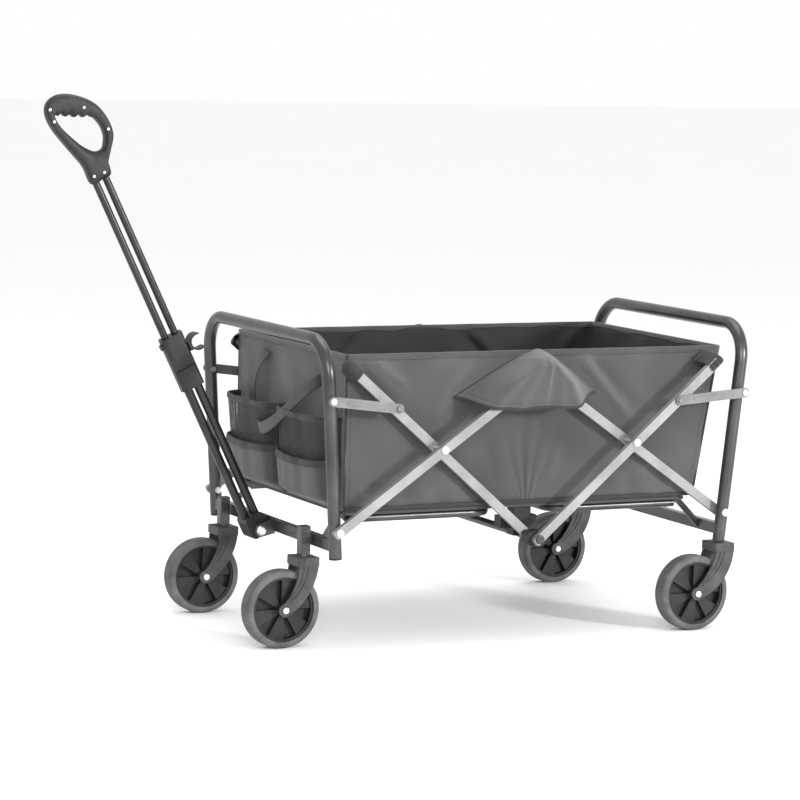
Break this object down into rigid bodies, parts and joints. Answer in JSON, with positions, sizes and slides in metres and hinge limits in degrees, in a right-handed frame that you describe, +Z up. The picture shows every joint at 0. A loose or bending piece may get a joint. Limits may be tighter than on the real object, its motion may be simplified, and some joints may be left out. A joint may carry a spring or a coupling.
{
  "type": "collapsible pull wagon",
  "caption": "Folding pull wagon: open cloth basket in a scissor-sided tube frame, swivel front casters, fixed rear wheels and a telescoping loop handle.",
  "frame": {"origin": "on the ground, midway between the front and rear scissor pivots, on the centre line", "axes": "-X towards the pull handle, +X towards the rear, +Y to the right-hand side of someone pulling, +Z up"},
  "size_m": [1.3976, 0.653, 1.0511],
  "materials": {
    "frame_paint": "satin dark grey powder coat",
    "link_steel": "satin dark grey powder coat on stamped steel",
    "zinc_steel": "bright zinc plate",
    "cloth": "dark grey coated polyester weave over a stiffener board",
    "tyre": "matt dark grey rubber",
    "wheel_plastic": "moulded dark grey plastic",
    "fork_plastic": "fine-grained dark grey plastic",
    "black_plastic": "matt black plastic",
    "grip_plastic": "textured dark grey plastic"
  },
  "bodies": {
    "front_frame": {"front_upright_tube": "frame_paint", "front_crossbar": "frame_paint", "front_leg_caps": "black_plastic", "front_leg_bolts": "zinc_steel", "caster_stem_left": "frame_paint", "caster_stem_right": "frame_paint", "caster_kingpins": "zinc_steel", "handle_clevis": "frame_paint", "handle_pivot_bolt": "zinc_steel", "front_panel": "cloth", "side_panel_left": "cloth", "side_panel_right": "cloth"},
    "rear_frame": {"rear_upright_tube": "frame_paint", "rear_crossbar": "frame_paint", "rear_leg_bolts": "zinc_steel", "rear_fork_left": "fork_plastic", "rear_fork_right": "fork_plastic", "rear_axles": "zinc_steel", "rear_panel": "cloth"},
    "floor_front": {"floor_frame_front": "frame_paint", "floor_board_front": "cloth"},
    "floor_rear": {"floor_frame_rear": "frame_paint", "floor_board_rear": "cloth"},
    "middle_tube": {"middle_cross_tube": "frame_paint", "middle_hubs": "black_plastic", "floor_saddles": "black_plastic"},
    "handle": {"handle_foot": "black_plastic", "handle_lower_tubes": "frame_paint", "slide_bracket": "black_plastic"},
    "handle_extension": {"handle_upper_rods": "frame_paint", "handle_grip": "grip_plastic"},
    "lock_button": {"lock_button": "black_plastic"},
    "front_rising_left": {"front_rising_bar_left": "frame_paint", "front_bar_pins_left": "zinc_steel"},
    "front_falling_left": {"front_falling_bar_left": "frame_paint"},
    "rear_falling_left": {"rear_falling_bar_left": "frame_paint"},
    "rear_rising_left": {"rear_rising_bar_left": "frame_paint", "rear_bar_pin_left": "zinc_steel"},
    "front_link_left": {"front_link_left": "link_steel"},
    "rear_link_left": {"rear_link_left": "link_steel"},
    "caster_left": {"caster_fork_left": "fork_plastic", "caster_axle_left": "zinc_steel"},
    "front_wheel_left": {"front_tyre_left": "tyre", "front_hub_left": "wheel_plastic"},
    "rear_wheel_left": {"rear_tyre_left": "tyre", "rear_hub_left": "wheel_plastic"},
    "front_rising_right": {"front_rising_bar_right": "frame_paint", "front_bar_pins_right": "zinc_steel"},
    "front_falling_right": {"front_falling_bar_right": "frame_paint"},
    "rear_falling_right": {"rear_falling_bar_right": "frame_paint"},
    "rear_rising_right": {"rear_rising_bar_right": "frame_paint", "rear_bar_pin_right": "zinc_steel"},
    "front_link_right": {"front_link_right": "link_steel"},
    "rear_link_right": {"rear_link_right": "link_steel"},
    "caster_right": {"caster_fork_right": "fork_plastic", "caster_axle_right": "zinc_steel"},
    "front_wheel_right": {"front_tyre_right": "tyre", "front_hub_right": "wheel_plastic"},
    "rear_wheel_right": {"rear_tyre_right": "tyre", "rear_hub_right": "wheel_plastic"}
  },
  "joints": [
    {"name": "fold", "type": "hinge", "parent": "front_frame", "child": "front_rising_left", "pos_m": [-0.43, -0.292, 0.236], "axis": [0, -1, 0], "range_deg": [0, 43.28], "deforming": ["side_panel_left", "side_panel_right"]},
    {"name": "front_cross_left", "type": "hinge", "parent": "front_rising_left", "child": "front_falling_left", "pos_m": [-0.212, -0.292, 0.38708], "axis": [0, -1, 0], "range_deg": [-82.03, 0.6]},
    {"name": "middle_top_left", "type": "hinge", "parent": "front_rising_left", "child": "rear_falling_left", "pos_m": [0, -0.292, 0.534], "axis": [0, -1, 0], "range_deg": [-87.15, 0.6]},
    {"name": "rear_cross_left", "type": "hinge", "parent": "rear_falling_left", "child": "rear_rising_left", "pos_m": [0.212, -0.292, 0.38708], "axis": [0, -1, 0], "range_deg": [-0.6, 82.03]},
    {"name": "front_link_turn_left", "type": "hinge", "parent": "front_frame", "child": "front_link_left", "pos_m": [-0.44532, -0.292, 0.4864], "axis": [0, -1, 0], "range_deg": [-0.6, 78.39]},
    {"name": "rear_link_turn_left", "type": "hinge", "parent": "rear_frame", "child": "rear_link_left", "pos_m": [0.45565, -0.292, 0.48], "axis": [0, 1, 0], "range_deg": [-0.6, 72.53]},
    {"name": "fold_right", "type": "hinge", "parent": "front_frame", "child": "front_rising_right", "pos_m": [-0.43, 0.292, 0.236], "axis": [0, -1, 0], "range_deg": [-0.6, 43.88]},
    {"name": "front_cross_right", "type": "hinge", "parent": "front_rising_right", "child": "front_falling_right", "pos_m": [-0.212, 0.292, 0.38708], "axis": [0, -1, 0], "range_deg": [-82.03, 0.6]},
    {"name": "middle_top_right", "type": "hinge", "parent": "front_rising_right", "child": "rear_falling_right", "pos_m": [0, 0.292, 0.534], "axis": [0, -1, 0], "range_deg": [-87.15, 0.6]},
    {"name": "rear_cross_right", "type": "hinge", "parent": "rear_falling_right", "child": "rear_rising_right", "pos_m": [0.212, 0.292, 0.38708], "axis": [0, -1, 0], "range_deg": [-0.6, 82.03]},
    {"name": "front_link_turn_right", "type": "hinge", "parent": "front_frame", "child": "front_link_right", "pos_m": [-0.44532, 0.292, 0.4864], "axis": [0, -1, 0], "range_deg": [-0.6, 78.39]},
    {"name": "rear_link_turn_right", "type": "hinge", "parent": "rear_frame", "child": "rear_link_right", "pos_m": [0.45565, 0.292, 0.48], "axis": [0, 1, 0], "range_deg": [-0.6, 72.53]},
    {"name": "rear_leg_left", "type": "hinge", "parent": "rear_falling_left", "child": "rear_frame", "pos_m": [0.43, -0.292, 0.236], "axis": [0, -1, 0], "range_deg": [-0.6, 43.88]},
    {"name": "middle_bottom", "type": "hinge", "parent": "front_falling_left", "child": "middle_tube", "pos_m": [0, 0, 0.204], "axis": [0, -1, 0], "range_deg": [-0.6, 38.75]},
    {"name": "floor_front_turn", "type": "hinge", "parent": "front_frame", "child": "floor_front", "pos_m": [-0.386, 0, 0.262], "axis": [0, -1, 0], "range_deg": [-0.6, 89.32]},
    {"name": "floor_rear_turn", "type": "hinge", "parent": "rear_frame", "child": "floor_rear", "pos_m": [0.36, 0, 0.262], "axis": [0, 1, 0], "range_deg": [-0.6, 89.32]},
    {"name": "caster_swivel_left", "type": "hinge", "parent": "front_frame", "child": "caster_left", "pos_m": [-0.451, -0.198, 0.176], "axis": [0, 0, 1], "continuous": true},
    {"name": "front_wheel_spin_left", "type": "hinge", "parent": "caster_left", "child": "front_wheel_left", "pos_m": [-0.498, -0.198, 0.076], "axis": [0, 1, 0], "continuous": true},
    {"name": "rear_wheel_spin_left", "type": "hinge", "parent": "rear_frame", "child": "rear_wheel_left", "pos_m": [0.3639, -0.292, 0.076], "axis": [0, 1, 0], "continuous": true},
    {"name": "caster_swivel_right", "type": "hinge", "parent": "front_frame", "child": "caster_right", "pos_m": [-0.451, 0.198, 0.176], "axis": [0, 0, 1], "continuous": true},
    {"name": "front_wheel_spin_right", "type": "hinge", "parent": "caster_right", "child": "front_wheel_right", "pos_m": [-0.498, 0.198, 0.076], "axis": [0, 1, 0], "continuous": true},
    {"name": "rear_wheel_spin_right", "type": "hinge", "parent": "rear_frame", "child": "rear_wheel_right", "pos_m": [0.3639, 0.292, 0.076], "axis": [0, 1, 0], "continuous": true},
    {"name": "handle_tilt", "type": "hinge", "parent": "front_frame", "child": "handle", "pos_m": [-0.466, 0, 0.2], "axis": [0, 1, 0], "range_deg": [-62, 21.6]},
    {"name": "handle_slide", "type": "slide", "parent": "handle", "child": "handle_extension", "axis": [-0.4384, 0, 0.8988], "range_m": [-0.29, 0]},
    {"name": "button_press", "type": "slide", "parent": "handle", "child": "lock_button", "axis": [0.8988, 0, 0.4384], "range_m": [0, 0.002], "stiffness_N_per_m": 400}
  ],
  "couplings": [
    {"joint": "front_cross_left", "follows": "fold", "ratio": -1.8815},
    {"joint": "middle_top_left", "follows": "fold", "ratio": -2},
    {"joint": "rear_cross_left", "follows": "fold", "ratio": 1.8815},
    {"joint": "front_link_turn_left", "follows": "fold", "ratio": 1.7974},
    {"joint": "rear_link_turn_left", "follows": "fold", "ratio": 1.6621},
    {"joint": "fold_right", "follows": "fold", "ratio": 1},
    {"joint": "front_cross_right", "follows": "fold", "ratio": -1.8815},
    {"joint": "middle_top_right", "follows": "fold", "ratio": -2},
    {"joint": "rear_cross_right", "follows": "fold", "ratio": 1.8815},
    {"joint": "front_link_turn_right", "follows": "fold", "ratio": 1.7974},
    {"joint": "rear_link_turn_right", "follows": "fold", "ratio": 1.6621},
    {"joint": "rear_leg_left", "follows": "fold", "ratio": 1},
    {"joint": "middle_bottom", "follows": "fold", "ratio": 0.88151},
    {"joint": "floor_front_turn", "follows": "fold", "ratio": 2.05},
    {"joint": "floor_rear_turn", "follows": "fold", "ratio": 2.05}
  ]
}
